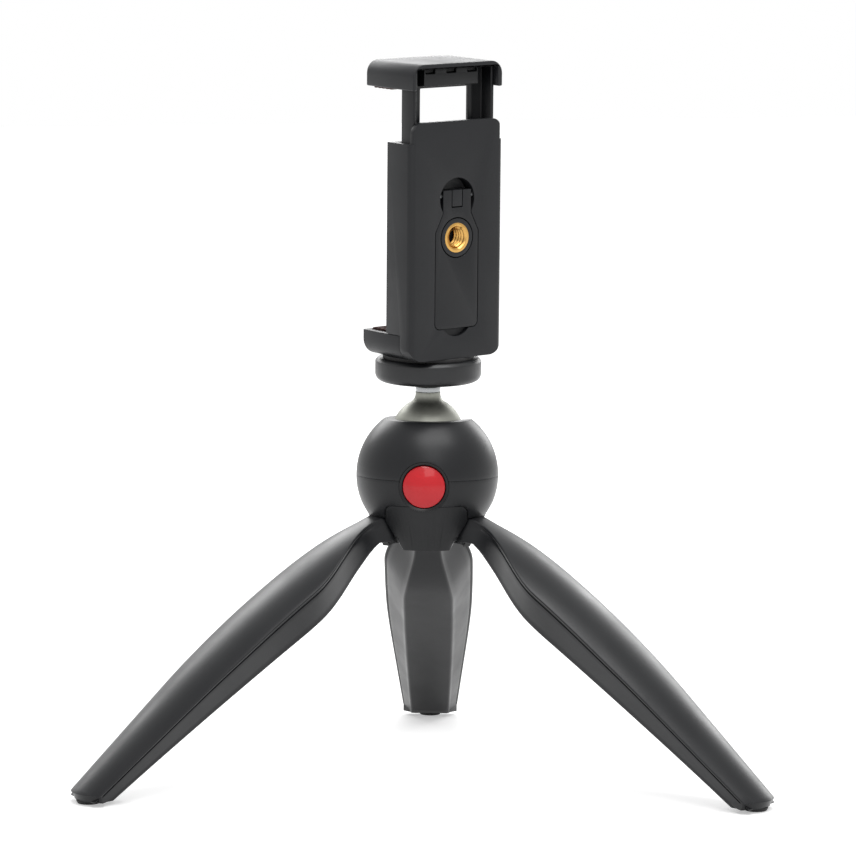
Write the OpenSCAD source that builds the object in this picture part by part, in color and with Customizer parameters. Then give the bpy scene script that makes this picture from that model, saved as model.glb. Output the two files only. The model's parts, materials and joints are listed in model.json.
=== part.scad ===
// Mini table tripod with a push-button ball head and a sprung phone clamp.
// Millimetres. The origin is on the tripod's own axis, on the table.
// X runs along the width of the clamp, and the clamp's back faces -Y.
// Heights in the head are measured from the centre of the ball, along its neck.

/* [Hub] */
// Radius of the round hub housing
hub_r = 22.2; // [21.5:0.1:24]
// Height of the flat top rim above the hub's centre
hub_top_h = 17.5; // [17:0.1:18.5]
// Depth of the flat underside of the lower shell below the hub's centre
hub_low_h = 12.2; // [12:0.1:12.8]
// Wall of the hub shells
hub_wall = 2.4; // [1.6:0.1:3]
// Turn of the first leg about the tripod's axis, degrees
leg_turn = 51.4; // [45:0.1:60]
// Turn of the push button away from the middle of its apron, degrees
button_turn = -2; // [-4:0.5:4]
// Turn of the side notch about the tripod's axis, degrees
notch_turn = -7.8; // [-20:0.1:20]
// Width of the notch that lets the neck drop sideways
notch_w = 14; // [11:0.5:16]

/* [Aprons] */
// Height of an apron's top edge below the hub's centre
apron_top_h = 8.1; // [7.5:0.1:9]
// Depth of an apron's bottom edge below the hub's centre
apron_low_h = 21.1; // [20.6:0.1:21.8]
// Width of an apron at its top
apron_top_w = 25.4; // [23:0.1:26]
// Width of an apron at its bottom
apron_low_w = 16.8; // [14:0.1:18]
// Radius of an apron's outer face at its bottom edge
apron_low_r = 13.9; // [13.5:0.1:14.5]
// Thickness of an apron
apron_t = 2.2; // [1.8:0.1:2.6]

/* [Legs] */
// Distance of each hinge pin from the tripod's axis
hinge_r = 12; // [11.5:0.1:12.5]
// Depth of the hinge pins below the hub's centre
hinge_h = 16.7; // [16.5:0.1:17]
// Angle that each leg opens from the closed grip, degrees
leg_open = 56; // [50:0.5:56.5]
// Length of a leg below its hinge
leg_len = 131.5; // [125:0.5:140]
// Largest radius of the grip that the closed legs form
grip_r = 22.4; // [21.5:0.1:22.8]
// Distance from the hinge down to the widest place of the grip
grip_peak = 34; // [30:0.5:38]
// Radius of the long curve of the crown towards the foot
crown_long_r = 345; // [320:1:400]
// Radius of the short curve of the crown towards the hub
crown_short_r = 165; // [120:1:180]
// Half thickness of a leg's wedge at the grip's axis
flank_base = 3.6; // [3.4:0.1:3.7]
// Lean of the leg's flanks, degrees
flank_angle = 32.8; // [32:0.1:33.2]
// Width of the leg's neck
neck_w = 8; // [7:0.1:9]
// Radius of each hinge pin
pin_r = 1.5; // [1.2:0.1:1.8]
// Radius of a rubber foot where it stands on the table
foot_r = 3.3; // [2.9:0.1:3.5]

/* [Ball head] */
// Radius of the ball
ball_r = 11.2; // [10.8:0.1:11.5]
// Height of the ball's centre above the hub's centre
ball_h = 13; // [12.8:0.1:13.3]
// Lean of the head as it is set, degrees
head_lean = 4.3; // [0:0.1:10]
// Direction of that lean about the tripod's axis, degrees
lean_turn = 232.2; // [0:0.1:360]
// Radius of the ball's neck
stem_r = 3.9; // [3.6:0.1:4.3]
// Radius of the top plate
plate_r = 16.5; // [15.5:0.1:18]
// Height of the top plate's underside above the ball's centre
plate_h = 16.7; // [16.2:0.1:18]
// Thickness of the top plate
plate_t = 7.3; // [6.5:0.1:8]
// Length of the stud above the top plate
stud_len = 6.6; // [6:0.1:6.8]

/* [Clamp] */
// Width of the clamp body
clamp_w = 36; // [35.5:0.5:40]
// Distance from the stud's axis to the clamp's back face
clamp_back = 13.85; // [13.5:0.05:15]
// Distance from the stud's axis to the front of the jaws
jaw_front = 9.9; // [9:0.1:12]
// Depth of the upright body
body_d = 11.9; // [11.7:0.1:12.6]
// Height of the side walls above the clamp's underside
wall_h = 67; // [64:0.5:70]
// Height of the back plate above the clamp's underside
back_h = 73.5; // [71.5:0.5:74]
// Thickness of the lower jaw
jaw_t = 7.8; // [7.4:0.1:8.4]
// Gap between the jaws as the clamp is set
jaw_gap = 75.5; // [75:0.5:80]
// Thickness of the upper jaw
cap_t = 7.9; // [7.5:0.1:9]
// Width of the upper jaw
cap_w = 34.6; // [34.2:0.1:36]
// Half width of the window in the slider
window_half_w = 9.3; // [8:0.1:9.6]

/* [Fold-out arm] */
// Width of the arm's body
arm_w = 16.4; // [15:0.1:17]
// Width of the arm's neck
arm_neck_w = 10.7; // [10:0.1:11.4]
// Height of the arm's lower end above the clamp's underside
arm_low = 9.5; // [9:0.1:11]
// Thickness of the arm
arm_t = 2.6; // [2.4:0.05:2.7]
// Height of the rear threaded insert above the clamp's underside
insert_h = 37.5; // [37:0.1:38]
// Outer radius of the threaded inserts
insert_r = 4.6; // [4.4:0.05:4.8]
// Radius of the threaded hole for a quarter-inch screw
thread_r = 2.6; // [2.5:0.01:2.7]

/* [Hidden] */
$fn = 72;
// Overrun of every cut
ov = 1;
// Face gap between pieces that move on each other
gap = 0.3;
// Radial clearance of a running fit
fit = 0.06;
// Gap at a seam between fixed mouldings
seam = 0.15;
// A length that passes through everything
far = 60;

// Hub: derived heights, and sizes of small details
leg_count = 3;
leg_step = 360 / leg_count;
apron_turn = leg_turn + leg_step / 2;
button_az = apron_turn + leg_step + button_turn;
// Where a foot's middle lies on the closed leg: up from its end, and out from the grip's axis
foot_in = 1.774885;
foot_u = 5.656939;
foot_reach = leg_len - foot_in;
foot_side = hinge_r - foot_u;
hub_z = hinge_h + foot_reach * cos(leg_open) + foot_side * sin(leg_open);
hub_top_z = hub_z + hub_top_h;
hub_low_z = hub_z - hub_low_h;
hub_inner_r = hub_r - hub_wall;
ball_z = hub_z + ball_h;
hinge_z = hub_z - hinge_h;
socket_r = ball_r + fit;
rim_land = 1.2;
notch_floor_h = 4.2;
cup_r = 13;
cup_wall = 1.6;
cup_top_h = 4.6;
cup_floor_h = 0.3;
apron_corner_r = 2.2;
apron_cut_h = 4.9;
apron_low_corner = 1.2;
core_r = 14.2;
core_top_h = 3;
core_low_h = 19.9;
core_neck_r = 13;
ear_t = 2.2;
ear_reach = 14;
web_reach = 13.2;
web_rise = 0.4;
base_plate_t = 1.1;
base_plate_r = 11.5;
parting = 0.08;
base_screw_r = 1;
base_screw_place_r = 9.2;
base_screw_len = 6;
base_screw_head_r = 1.7;
base_screw_head_t = 0.6;
guide_t = 2.5;

// Button and lock
button_r = 6.5;
button_drop_h = 1.8;
button_skirt_x = 17.2;
button_edge_x = 20.5;
button_apex_x = 22.2;
bezel_wall = 1.05;
bezel_back_x = 14.6;
wedge_w = 7.4;
wedge_low_h = 8.7;
wedge_t = 5;
wedge_tail_x = 8;
nose_w = 6;
nose_rise = 1.9;
ramp_slope = 0.4;
ramp_mid_t = 3.6;
ramp_back_x = 3.8;
ramp_front_x = 6.8;
plunger_r = 3.4;
plunger_gap = 0.1;
spring_coil_r = 1.7;
spring_wire_r = 0.25;
spring_turns = 4;
button_spring_len = 4.6;

// Legs
hub_stop_gap = 0.25;
eye_r = 3.2;
neck_end = 7;
hip_end = 38;
hip_half_w = 14.5;
hip_power = 0.8;
hip_facet_u = 10.4;
hip_facet_v = 4.3;
hip_facet_w = 20;
hip_facet_turn = 125.4;
hip_facet_lift = 15;
keel_neck_u = 14.2;
keel_hip_u = 6.8;
keel_bend_start = 0;
keel_bend_end = 39;
keel_arc_r = 1333;
crown_back = 4.7;
cone_start = 92;
crown_step = 5;
neck_rise = 1.2;
seam_drop = 1.2;
seam_step = 0.55;
station_step = 3;
far_step = 16;
foot_place_r = hinge_r + foot_reach * sin(leg_open) - foot_side * cos(leg_open);
foot_cut_z = 1.2;
shell_cut_z = 3;
shell_end_gap = 1.3;
shell_len = leg_len - shell_end_gap;
foot_end_gap = 2.6;
foot_end_r = foot_place_r + foot_end_gap;
foot_rim_r = 3.9;
foot_plug_r = 2.4;
foot_plug_h = 4.4;
flank_slope = tan(flank_angle);

// Ball head
stem_fillet_r = 3;
collar_h = 13.2;
collar_t = 1.7;
collar_wall = 0.9;
plate_round_r = 2.4;
plate_chamfer = 1;
pad_t = 1.2;
pad_r = 14.2;
pad_hole_r = 4.6;
stud_r = 3.1;
shank_r = 1.9;
shank_low_h = 8;

// Clamp: places are measured from the stud's axis and the clamp's underside
clamp_gap = 0.1;
clamp_base_h = plate_h + plate_t + pad_t + clamp_gap;
back_y = -clamp_back;
wall_front_y = back_y + body_d;
back_t = 1.85;
side_t = 2.1;
low_corner_r = 5;
edge_r = 2;
plate_step = 1;
plate_corner_r = 3.5;
jaw_seam_y = -8.65;
well_half_w = 11;
well_low = jaw_t + seam;
well_top = 58;
well_back_y = -7.6;
cover_t = 2.2;
insert_len = 5.6;
insert_floor = 0.4;
insert_chamfer = 0.9;
low_insert_len = 6;
low_insert_bore_r = stud_r + fit;
slider_wall = 1.2;
slider_web_t = 1.3;
slider_back_y = -11.7;
slider_front_y = -5.7;
slider_low = 18.5;
slider_gap = 0.3;
slider_half_w = clamp_w / 2 - side_t - slider_gap;
window_low = 46;
rail_back_y = -10.4;
rail_half_w = 10.5;
rail_t = 5.4;
rail_notch_w = 3.7;
rail_notch_h = 1.5;
rail_notch_pitch = 8.1;
cap_corner_r = 4;
cap_top_wall = 1.6;
cap_low = jaw_t + jaw_gap;
cap_top = cap_low + cap_t;
cap_seat = 0.1;
pad_half_w = 15.6;
jaw_pad_t = 1.5;
jaw_pad_proud = 0.6;
jaw_pad_back_y = -1;
jaw_pad_front_y = 8.6;
jaw_pad_ribs = 5;
jaw_pad_rib_w = 1;
jaw_pad_rib_h = 0.4;
pull_spring_x = 12.75;
pull_spring_y = -9.4;
pull_spring_coil_r = 0.95;
pull_spring_wire_r = 0.22;
pull_spring_turns = 16;
pull_spring_low = jaw_t + 1;
pull_spring_top = 42;
spring_hook_t = 2;
rear_wall_h = jaw_t + seam;

// Arm
arm_gap = 0.25;
arm_corner_r = 1.8;
shoulder_low_rise = 1.9;
shoulder_top_rise = 7.5;
arm_top_rise = 14.7;
arm_pin_rise = 12.9;
slot_low_rise = 9.3;
tongue_low_rise = 9.7;
hinge_dish_rise = 11.9;
arm_shoulder_low = insert_h + shoulder_low_rise;
arm_shoulder_top = insert_h + shoulder_top_rise;
arm_top = insert_h + arm_top_rise;
arm_pin_h = insert_h + arm_pin_rise;
arm_pin_r = 0.7;
arm_slot_w = 4.3;
arm_slot_low = insert_h + slot_low_rise;
tongue_w = 3.7;
tongue_low = insert_h + tongue_low_rise;
boss_r = 5.95;
boss_gap = 0.35;
hinge_dish_r = 6.65;
hinge_dish_h = insert_h + hinge_dish_rise;
hinge_dish_depth = 4;
finger_dish_r = 6.3;
finger_dish_h = 13.2;
finger_dish_depth = 1.6;

// Helpers

// A box between two corners
module span(low, high) {
    translate(low) cube(high - low);
}

// A flat outline with four round corners, lower left corner at the origin
module rounded_rect(w, h, r) {
    translate([r, 0]) square([w - 2 * r, h]);
    translate([0, r]) square([w, h - 2 * r]);
    for (x = [r, w - r], y = [r, h - r]) translate([x, y]) circle(r = r);
}

// Stand a flat outline up: its x runs along X and its y along Z, from y_low to y_high
module upright(y_low, y_high) {
    translate([0, y_high, 0]) rotate([90, 0, 0]) linear_extrude(y_high - y_low) children();
}

// A cylinder along X
module rod_x(r, len) {
    rotate([0, 90, 0]) cylinder(r = r, h = len, center = true);
}

// A cylinder along Y, from y_low to y_high
module rod_y(r, y_low, y_high) {
    translate([0, y_high, 0]) rotate([90, 0, 0]) cylinder(r = r, h = y_high - y_low);
}

// A round wire wound round the Z axis from the origin, as one tube
module coil(coil_r, wire_r, turns, length) {
    ring_count = 10;
    side_count = 6;
    steps = turns * ring_count;
    rise = length - 2 * wire_r;
    function ring_point(i, k) = let (
        turn = 360 * i / ring_count,
        side = 360 * k / side_count,
        out = coil_r + wire_r * cos(side)
    ) [out * cos(turn), out * sin(turn), wire_r + rise * i / steps + wire_r * sin(side)];
    points = [for (i = [0:steps], k = [0:side_count - 1]) ring_point(i, k)];
    walls = [for (i = [0:steps - 1], k = [0:side_count - 1]) let (
        a = i * side_count + k,
        b = i * side_count + (k + 1) % side_count
    ) each [[a, b, a + side_count], [b, b + side_count, a + side_count]]];
    first_end = [for (k = [1:side_count - 2]) [0, k + 1, k]];
    top = steps * side_count;
    last_end = [for (k = [1:side_count - 2]) [top, top + k, top + k + 1]];
    polyhedron(points, concat(walls, first_end, last_end));
}

// Children ride on the head, with the ball's centre at their origin
module head_pose() {
    translate([0, 0, ball_z])
        rotate(a = head_lean, v = [cos(lean_turn + 90), sin(lean_turn + 90), 0])
            children();
}

// Children stand on the top plate, with the clamp's underside at their origin
module clamp_pose() {
    head_pose() translate([0, 0, clamp_base_h]) children();
}

// Hub

// The outline of an apron as seen from outside, grown by a margin
module apron_outline(margin) {
    top = -apron_top_h + margin;
    bend = -apron_top_h - apron_cut_h;
    low = -apron_low_h - margin;
    half_top = apron_top_w / 2 + margin;
    half_low = apron_low_w / 2 + margin;
    cut = apron_low_corner;
    difference() {
        polygon([
            [-half_top, top], [half_top, top], [half_top, bend],
            [half_low + cut / 3, low + cut], [half_low - cut, low],
            [-half_low + cut, low], [-half_low - cut / 3, low + cut], [-half_top, bend]
        ]);
        apron_corner_cut(half_top, top);
        mirror([1, 0]) apron_corner_cut(half_top, top);
    }
}

// What rounds one top corner of an apron
module apron_corner_cut(half_top, top) {
    translate([half_top - apron_corner_r, top - apron_corner_r]) difference() {
        square(apron_corner_r + ov);
        circle(r = apron_corner_r);
    }
}

// The prism of each apron, from a radius outwards
module apron_prisms(margin, from_r) {
    for (i = [0:leg_count - 1]) rotate(apron_turn + i * leg_step) apron_prism(margin, from_r);
}

module apron_prism(margin, from_r) {
    translate([from_r, 0, hub_z]) rotate([90, 0, 90]) linear_extrude(far) apron_outline(margin);
}

// The button's bore, along its own direction
module button_bore(r, from_x) {
    rotate(button_az) translate([from_x, 0, hub_z - button_drop_h])
        rotate([0, 90, 0]) cylinder(r = r, h = far);
}

bezel_r = button_r + gap / 2 + bezel_wall;

module hub_upper_shell() {
    color("#2f3032") difference() {
        intersection() {
            translate([0, 0, hub_z]) sphere(r = hub_r, $fn = 2 * $fn);
            translate([0, 0, hub_z]) cylinder(r = hub_r + ov, h = hub_top_h);
        }
        translate([0, 0, ball_z]) sphere(r = socket_r, $fn = 2 * $fn);
        translate([0, 0, hub_z - ov])
            cylinder(r = cup_r + fit, h = cup_top_z + gap + ov - hub_z);
        hub_pocket();
        notch_cut();
        button_bore(bezel_r + seam / 2, core_r);
    }
}

cup_top_z = ball_z - cup_top_h;

// The ring-shaped hollow inside the upper shell
module hub_pocket() {
    pocket_h = 7;
    pocket_low_r = cup_r + cup_wall;
    pocket_high_r = hub_inner_r - hub_wall;
    rotate_extrude() polygon([
        [pocket_low_r, hub_z - ov], [hub_inner_r, hub_z - ov], [hub_inner_r, hub_z],
        [pocket_high_r, hub_z + pocket_h], [pocket_low_r, hub_z + pocket_h]
    ]);
}

// The U-shaped notch in the rim
module notch_cut() {
    floor_z = ball_z - notch_floor_h;
    rotate(notch_turn) translate([ball_r / 2, 0, floor_z + notch_w / 2]) {
        rotate([0, 90, 0]) cylinder(r = notch_w / 2, h = far);
        translate([0, -notch_w / 2, 0]) cube([far, notch_w, far]);
    }
}

module hub_lower_shell() {
    color("#2f3032") difference() {
        intersection() {
            translate([0, 0, hub_z]) sphere(r = hub_r, $fn = 2 * $fn);
            translate([0, 0, hub_low_z]) cylinder(r = hub_r + ov, h = hub_low_h - parting);
        }
        translate([0, 0, hub_z]) sphere(r = hub_inner_r, $fn = 2 * $fn);
        apron_prisms(seam, core_r / 2);
        button_bore(bezel_r + seam / 2, core_r);
    }
}

// One apron: a piece of a hollow cone that runs a little inside the sphere at the top
module apron() {
    drop = apron_low_h - apron_top_h;
    high_r = sqrt(pow(hub_r, 2) - pow(apron_top_h, 2)) - seam;
    slope = (high_r - apron_low_r) / drop;
    intersection() {
        apron_prism(0, core_r / 2);
        translate([0, 0, hub_z - apron_low_h - ov]) difference() {
            cylinder(r1 = apron_low_r - ov * slope, r2 = high_r + ov * slope, h = drop + 2 * ov, $fn = 2 * $fn);
            translate([0, 0, -ov]) cylinder(
                r1 = apron_low_r - apron_t - 2 * ov * slope, r2 = high_r - apron_t + 2 * ov * slope,
                h = drop + 4 * ov
            );
        }
    }
}

module hub_core() {
    core_low_z = hub_z - core_low_h;
    color("#323335") difference() {
        union() {
            translate([0, 0, core_low_z]) cylinder(r = core_neck_r, h = core_low_h - core_top_h - ov);
            translate([0, 0, hub_low_z + seam])
                cylinder(r = core_r, h = hub_low_h - core_top_h - seam);
            for (i = [0:leg_count - 1]) rotate(apron_turn + i * leg_step) apron();
            apron_webs();
            hinge_ears();
        }
        leg_slots(neck_w / 2 + gap);
        for (i = [0:leg_count - 1]) rotate(leg_turn + i * leg_step) hinge_place()
            rotate([90, 0, 0]) cylinder(r = pin_r, h = neck_w + 2 * ear_t, center = true);
        wedge_channel();
        button_bore(bezel_r + seam / 2, bezel_back_x - seam);
        base_screw_places() cylinder(r = base_screw_r, h = 2 * base_screw_len, center = true);
    }
}

// A solid web that joins each apron to the core
module apron_webs() {
    web_half_w = apron_low_w / 2 - apron_t;
    web_top_z = hub_low_z - 2 * seam;
    web_low_z = hub_z - core_low_h + 2 * web_rise;
    for (i = [0:leg_count - 1]) rotate(apron_turn + i * leg_step)
        span([core_r / 2, -web_half_w, web_low_z], [web_reach, web_half_w, web_top_z]);
}

// The blocks that hold both ends of each hinge pin
module hinge_ears() {
    half = neck_w / 2 + ear_t;
    for (i = [0:leg_count - 1]) rotate(leg_turn + i * leg_step)
        span([core_r / 2, -half, hub_z - core_low_h + web_rise], [ear_reach, half, hub_low_z - 2 * seam]);
}

// Places its children at the middle of a hinge
module hinge_place() {
    translate([hinge_r, 0, hinge_z]) children();
}

// The three slots that the legs' necks swing in
module leg_slots(half_w) {
    slot_in_r = hinge_r - eye_r - gap;
    slot_top_z = hub_low_z - hub_stop_gap / 2;
    for (i = [0:leg_count - 1]) rotate(leg_turn + i * leg_step)
        span([slot_in_r, -half_w, 0], [far, half_w, slot_top_z]);
}

// The channel for the lock wedge, open at the core's top
module wedge_channel() {
    rotate(button_az) span(
        [-wedge_tail_x - button_spring_len - spring_wire_r, -wedge_w / 2 - gap, hub_z - wedge_low_h - gap],
        [bezel_back_x + seam, wedge_w / 2 + gap, hub_z]
    );
}

module lock_guide() {
    color("#d8d8d4") difference() {
        translate([0, 0, hub_z - core_top_h]) cylinder(r = core_r, h = guide_t);
        cylinder(r = plunger_r + fit, h = hub_top_z);
    }
}

// Puts its children at each base screw
module base_screw_places() {
    for (i = [0:leg_count - 1]) rotate(apron_turn + i * leg_step)
        translate([base_screw_place_r, 0, hub_z - core_low_h]) children();
}

module base_plate() {
    color("#262729") difference() {
        translate([0, 0, hub_z - core_low_h - base_plate_t]) cylinder(r = base_plate_r, h = base_plate_t);
        for (i = [0:leg_count - 1]) rotate(leg_turn + i * leg_step)
            span([hinge_r - eye_r - gap, -neck_w / 2 - gap, 0], [far, neck_w / 2 + gap, hub_z]);
        base_screw_places() {
            cylinder(r = base_screw_r, h = 3 * base_plate_t, center = true);
            translate([0, 0, -base_plate_t - ov])
                cylinder(r = base_screw_head_r + seam / 2, h = base_screw_head_t + ov);
        }
    }
}

module base_screws() {
    cross_w = 0.5;
    color("#b9babb") base_screw_places() difference() {
        union() {
            translate([0, 0, -base_plate_t]) cylinder(r = base_screw_head_r, h = base_screw_head_t);
            translate([0, 0, -base_plate_t]) cylinder(r = base_screw_r, h = base_screw_len);
        }
        for (turn = [0, 90]) rotate(turn) span(
            [-base_screw_r, -cross_w / 2, -base_plate_t - ov],
            [base_screw_r, cross_w / 2, -base_plate_t + base_screw_head_t / 2]
        );
    }
}

// Button and lock

module button_place() {
    rotate(button_az) translate([0, 0, hub_z - button_drop_h]) children();
}

module button_bezel() {
    bore_r = button_r + gap / 2;
    front_x = sqrt(pow(hub_r, 2) - pow(bezel_r, 2));
    color("#1d1e20") button_place() rotate([0, 90, 0]) rotate_extrude() polygon([
        [bore_r, bezel_back_x], [bezel_r, bezel_back_x], [bezel_r, front_x],
        [bore_r, front_x - bezel_wall / 2]
    ]);
}

module lock_button() {
    bulge = button_apex_x - button_edge_x;
    dome_r = (pow(button_r, 2) + pow(bulge, 2)) / (2 * bulge);
    color("#c8202c") button_place() intersection() {
        translate([button_skirt_x, 0, 0]) rotate([0, 90, 0]) cylinder(r = button_r, h = far);
        translate([button_apex_x - dome_r, 0, 0]) sphere(r = dome_r, $fn = 2 * $fn);
    }
}

module lock_wedge() {
    low_z = hub_z - wedge_low_h;
    ramp_z = low_z + ramp_mid_t;
    color("#dcdcd6") rotate(button_az) difference() {
        union() {
            span([-wedge_tail_x, -wedge_w / 2, low_z], [bezel_back_x - gap, wedge_w / 2, low_z + wedge_t]);
            span([0, -nose_w / 2, low_z + nose_rise], [button_skirt_x, nose_w / 2, low_z + wedge_t]);
        }
        translate([0, wedge_w, 0]) rotate([90, 0, 0]) linear_extrude(2 * wedge_w) polygon([
            [-ramp_back_x, ramp_z + ramp_slope * ramp_back_x], [ramp_front_x, ramp_z - ramp_slope * ramp_front_x],
            [ramp_front_x, hub_z], [-ramp_back_x, hub_z]
        ]);
    }
}

module button_spring() {
    color("#b4b6b8") rotate(button_az)
        translate([-wedge_tail_x - button_spring_len, 0, hub_z - wedge_low_h + wedge_t / 2])
            rotate([0, 90, 0]) coil(spring_coil_r, spring_wire_r, spring_turns, button_spring_len);
}

module lock_plunger() {
    foot_z = hub_z - wedge_low_h + ramp_mid_t + plunger_gap;
    head_z = ball_z - sqrt(pow(ball_r, 2) - pow(plunger_r, 2));
    color("#c9cacb") difference() {
        translate([0, 0, foot_z - plunger_r]) cylinder(r = plunger_r, h = head_z - foot_z + plunger_r);
        translate([0, 0, ball_z]) sphere(r = socket_r + plunger_gap, $fn = 2 * $fn);
        rotate(button_az) translate([0, far / 2, 0]) rotate([90, 0, 0]) linear_extrude(far) polygon([
            [-far, foot_z + ramp_slope * far], [far, foot_z - ramp_slope * far], [far, -far], [-far, -far]
        ]);
    }
}

module ball_cup() {
    low_z = hub_z - core_top_h + guide_t + cup_floor_h;
    color("#c9c9c2") difference() {
        translate([0, 0, low_z]) cylinder(r = cup_r, h = cup_top_z - low_z);
        translate([0, 0, ball_z]) sphere(r = socket_r, $fn = 2 * $fn);
        cylinder(r = plunger_r + gap, h = ball_z);
    }
}

// Legs: drawn in the closed grip, hanging along -Z from the hinge's height,
// with u from the grip's axis and w down from the hinge

function smooth(t) = t * t * (3 - 2 * t);
function held(t) = min(1, max(0, t));

crown_slope = (cone_start - grip_peak) / sqrt(pow(crown_long_r, 2) - pow(cone_start - grip_peak, 2));

// Reach of the round crown at a distance w below the hinge, measured from the grip's axis;
// its own centre line lies a little behind that axis, which makes it flatter
function arc_crown(w, r) = grip_r - r + sqrt(pow(r, 2) - pow(w - grip_peak, 2));
function crown_r(w) = w < grip_peak ? arc_crown(w, crown_short_r)
    : w < cone_start ? arc_crown(w, crown_long_r)
    : arc_crown(cone_start, crown_long_r) - (w - cone_start) * crown_slope;

// Half width of the leg seen from outside, from the neck out to the hip
function plan_half(w) = neck_w / 2 + (hip_half_w - neck_w / 2)
    * smooth(pow(held((w - neck_end) / (hip_end - neck_end)), hip_power));

// Distance from the grip's axis at which a flank meets the crown
function flank_u(w) = let (
    m = flank_slope,
    a = 1 + m * m,
    b = m * flank_base + crown_back,
    r = crown_r(w) + crown_back
) (-b + sqrt(b * b - a * (pow(crown_back, 2) + pow(flank_base, 2) - pow(r, 2)))) / a;

function ridge_half(w) = min(plan_half(w), flank_base + flank_slope * flank_u(w));
function ridge_u(w) = sqrt(pow(crown_r(w) + crown_back, 2) - pow(ridge_half(w), 2)) - crown_back;

// The flat inner side: a bend below the neck, then a long shallow arc
function keel_u(w) = w < keel_bend_end
    ? keel_neck_u + (keel_hip_u - keel_neck_u)
        * smooth(held((w - keel_bend_start) / (keel_bend_end - keel_bend_start)))
    : keel_hip_u - pow(w - keel_bend_end, 2) / (2 * keel_arc_r);

near_stations = [for (w = [0:station_step:hip_end]) w];
far_stations = [for (w = [hip_end + far_step:far_step:leg_len]) w];
leg_stations = concat(near_stations, far_stations, [leg_len + ov]);

// Half of the crown's outline, to be turned about the crown's own centre line
module crown_profile(inset) {
    ws = [for (w = [-crown_step:crown_step:leg_len - crown_step / 2]) w];
    back = crown_back - inset;
    polygon(concat(
        [[0, crown_step]],
        [for (w = ws) [crown_r(w) + back, -w]],
        [[crown_r(leg_len) + back, -leg_len], [0, -leg_len]]
    ));
}

// Side view of the leg: all that lies outside the keel, and the hinge eye
module keel_profile() {
    polygon(concat(
        [[keel_neck_u, neck_rise]],
        [for (w = leg_stations) [keel_u(w), -w]],
        [[far, -leg_len - ov], [far, neck_rise]]
    ));
    translate([hinge_r, 0]) circle(r = eye_r);
}

// Side view of all that lies outside the seam of the outer shell
module seam_profile() {
    polygon(concat(
        [for (w = leg_stations) [ridge_u(min(w, leg_len)) - seam_drop, -w]],
        [[far, -leg_len - ov], [far, eye_r + ov], [ridge_u(0) - seam_drop, eye_r + ov]]
    ));
}

// The leg's width seen from outside
module plan_profile(inset) {
    last = len(near_stations) - 1;
    neck_half = neck_w / 2 - inset;
    polygon(concat(
        [[neck_half, eye_r + ov]],
        [for (w = near_stations) [plan_half(w) - inset, -w]],
        [[hip_half_w - inset, -leg_len - ov], [-hip_half_w + inset, -leg_len - ov]],
        [for (i = [last:-1:0]) [-plan_half(near_stations[i]) + inset, -near_stations[i]]],
        [[-neck_half, eye_r + ov]]
    ));
}

// The wedge between the two flanks, seen along the grip
module flank_profile(inset) {
    near = flank_base - inset;
    wide = near + flank_slope * far;
    polygon([[0, -near], [far, -wide], [far, wide], [0, near]]);
}

module leg_form(inset) {
    difference() {
        intersection() {
            translate([-crown_back, 0, 0]) rotate_extrude() crown_profile(inset);
            translate([0, hip_half_w + ov, 0]) rotate([90, 0, 0]) linear_extrude(2 * (hip_half_w + ov)) keel_profile();
            rotate([90, 0, 90]) linear_extrude(far) plan_profile(inset);
            translate([0, 0, -leg_len - ov]) linear_extrude(leg_len + eye_r + 2 * ov) flank_profile(inset);
        }
        hip_facet_cut(inset);
        mirror([0, 1, 0]) hip_facet_cut(inset);
    }
}

// The facet that leads one flank from the narrow neck to the hip
module hip_facet_cut(inset) {
    intersection() {
        translate([0, neck_w / 2 - inset, -leg_len]) cube([far, far, 2 * leg_len]);
        translate([hip_facet_u, hip_facet_v, -hip_facet_w]) rotate([0, -hip_facet_lift, hip_facet_turn])
            translate([-inset, -far, -far]) cube(2 * far);
    }
}

module seam_side() {
    translate([0, far / 2, 0]) rotate([90, 0, 0]) linear_extrude(far) seam_profile();
}

// Opens a leg from the closed grip about its hinge
module opened() {
    hinge_place() rotate([0, -leg_open, 0]) translate([-hinge_r, 0, 0]) children();
}

// The space of the outer shell, outside its seam and down to its own lower edge
module shell_space() {
    difference() {
        opened() seam_side();
        translate([-far, -far, shell_cut_z - 2 * far]) cube([4 * far, 2 * far, 2 * far]);
    }
}

// What the hub's underside cuts off an open leg
module hub_side_cut() {
    translate([-far, -far, hub_low_z - hub_stop_gap]) cube(2 * far);
}

module foot_place() {
    translate([foot_place_r, 0, 0]) children();
}

module leg(i) {
    color("#303133") rotate(leg_turn + i * leg_step) difference() {
        opened() leg_form(seam_step);
        shell_space();
        hub_side_cut();
        hinge_place() rotate([90, 0, 0]) cylinder(r = pin_r + fit, h = far, center = true);
        translate([foot_end_r, -far, -far]) cube(2 * far);
        translate([-far, -far, foot_cut_z - 2 * far]) cube([4 * far, 2 * far, 2 * far]);
        foot_place() cylinder(r = foot_plug_r, h = foot_plug_h);
    }
}

module leg_shell(i) {
    color("#38393c") rotate(leg_turn + i * leg_step) difference() {
        intersection() {
            opened() leg_form(0);
            shell_space();
        }
        hub_side_cut();
        opened() translate([-far, -far, -shell_len - 2 * far]) cube(2 * far);
        foot_place() cylinder(r = foot_plug_r, h = foot_plug_h);
    }
}

module hinge_pin(i) {
    color("#b4b6b8") rotate(leg_turn + i * leg_step) hinge_place()
        rotate([90, 0, 0]) cylinder(r = pin_r, h = neck_w + 2 * ear_t, center = true);
}

module foot_pad(i) {
    color("#1b1b1c") rotate(leg_turn + i * leg_step) foot_place() {
        cylinder(r1 = foot_r, r2 = foot_rim_r, h = foot_cut_z);
        cylinder(r = foot_plug_r, h = foot_plug_h);
    }
}

// Ball head

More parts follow.
